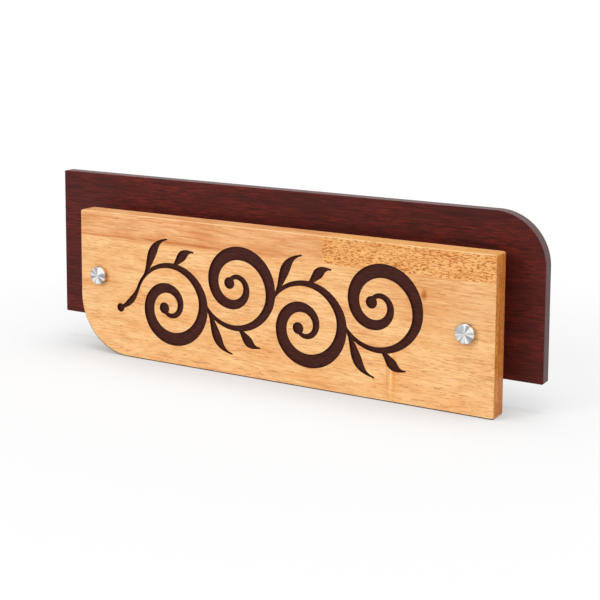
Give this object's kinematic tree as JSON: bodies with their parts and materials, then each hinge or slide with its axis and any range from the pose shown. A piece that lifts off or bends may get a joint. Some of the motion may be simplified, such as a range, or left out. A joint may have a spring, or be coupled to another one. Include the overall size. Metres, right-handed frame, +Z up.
{
  "type": "name plate",
  "caption": "Two-layer wall name plate: a light wood board with a routed scroll ornament stands off a dark laminated back plate on screwed caps.",
  "frame": {"origin": "middle of the back plate's rear face, on the wall", "axes": "+X to the right seen from the front, along the plate's length, +Y into the wall, +Z up"},
  "size_m": [0.4572, 0.045, 0.1524],
  "materials": {
    "face_laminate": "dark red wood-grain laminate, satin",
    "core_board": "sawn and sealed board edge, matt grey-brown",
    "rear_laminate": "dark backing laminate, matt",
    "wood_plain": "planed light hardwood, satin lacquer",
    "wood_rosy": "planed light hardwood of a rosier tone, satin lacquer",
    "wood_speckled": "planed light hardwood with open pores, satin lacquer",
    "turned_steel": "fine-turned stainless steel",
    "zinc_steel": "zinc plated",
    "nylon": "natural nylon, satin"
  },
  "bodies": {
    "plate": {"back_rear_laminate": "rear_laminate", "back_core": "core_board", "back_face_laminate": "face_laminate", "stave_top_left": "wood_rosy", "stave_top_right": "wood_speckled", "stave_middle": "wood_plain", "stave_bottom_left": "wood_plain", "stave_bottom_right": "wood_rosy", "left_screw": "zinc_steel", "left_plate_washer": "nylon", "left_barrel": "turned_steel", "left_board_washer": "nylon", "right_screw": "zinc_steel", "right_plate_washer": "nylon", "right_barrel": "turned_steel", "right_board_washer": "nylon"},
    "left_washer": {"left_cap_washer": "nylon"},
    "left_cap": {"left_cap": "turned_steel"},
    "right_washer": {"right_cap_washer": "nylon"},
    "right_cap": {"right_cap": "turned_steel"}
  },
  "joints": [
    {"name": "left_cap_travel", "type": "slide", "parent": "plate", "child": "left_washer", "axis": [0, -1, 0], "range_m": [0, 0.005]},
    {"name": "left_cap_turn", "type": "hinge", "parent": "left_washer", "child": "left_cap", "pos_m": [-0.1656, -0.0418, -0.0193], "axis": [0, -1, 0], "range_deg": [0, 1800]},
    {"name": "right_cap_travel", "type": "slide", "parent": "plate", "child": "right_washer", "axis": [0, -1, 0], "range_m": [0, 0.005]},
    {"name": "right_cap_turn", "type": "hinge", "parent": "right_washer", "child": "right_cap", "pos_m": [0.1786, -0.0418, -0.0248], "axis": [0, -1, 0], "range_deg": [0, 1800]}
  ],
  "couplings": [
    {"joint": "left_cap_travel", "follows": "left_cap_turn", "m_per_rad": 0.00015915},
    {"joint": "right_cap_travel", "follows": "right_cap_turn", "m_per_rad": 0.00015915}
  ]
}
